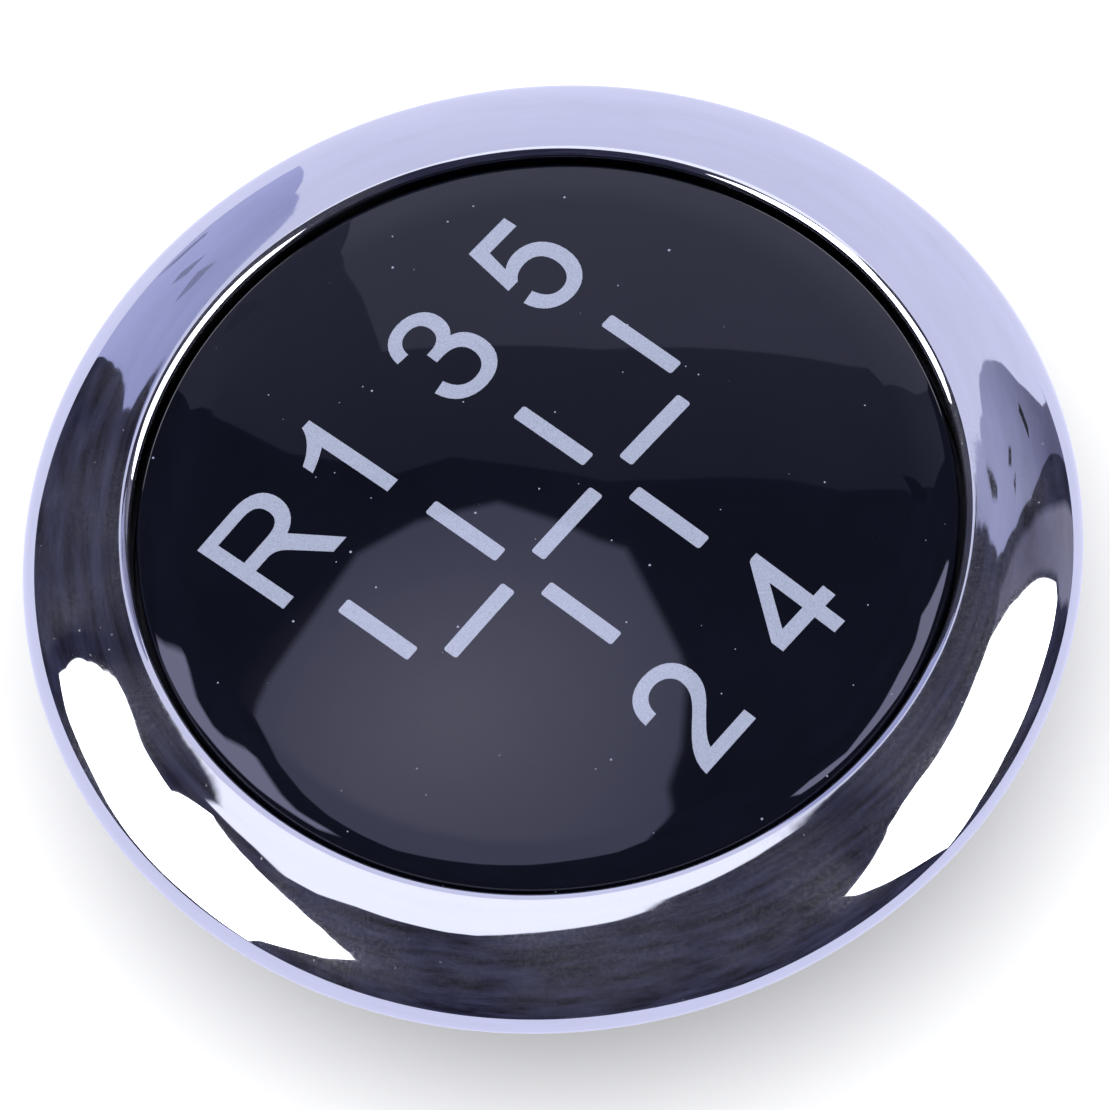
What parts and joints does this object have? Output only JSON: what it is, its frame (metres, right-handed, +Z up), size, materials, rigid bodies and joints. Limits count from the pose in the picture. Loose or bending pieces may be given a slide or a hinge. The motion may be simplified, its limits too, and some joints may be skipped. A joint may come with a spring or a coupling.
{
  "type": "gear shift knob cap",
  "caption": "Round trim cap for a gear shift knob: chrome-plated ring, domed gloss black face with a silver shift pattern, and a clip-in carrier underneath.",
  "frame": {"origin": "on the cap's axis, in the plane that the tips of the snap hooks stand on", "axes": "+Z up along the cap's axis, +Y from the 2-4 side to the R-1-3-5 side of the shift pattern, +X in the pattern's reading direction"},
  "size_m": [0.038, 0.038, 0.0105],
  "materials": {
    "chrome_plating": "bright chrome plating on moulded ABS",
    "gloss_black": "high gloss under a clear coat",
    "silver_print": "fine-grained metallic print sealed under the clear coat",
    "foam_tape": "double-sided acrylic foam tape",
    "black_abs": "moulded ABS, fine satin"
  },
  "bodies": {
    "root": {"trim_ring": "chrome_plating", "face_disc": "gloss_black", "gate_lines": "silver_print", "mounting_tape": "foam_tape", "clip_carrier": "black_abs"}
  },
  "joints": []
}
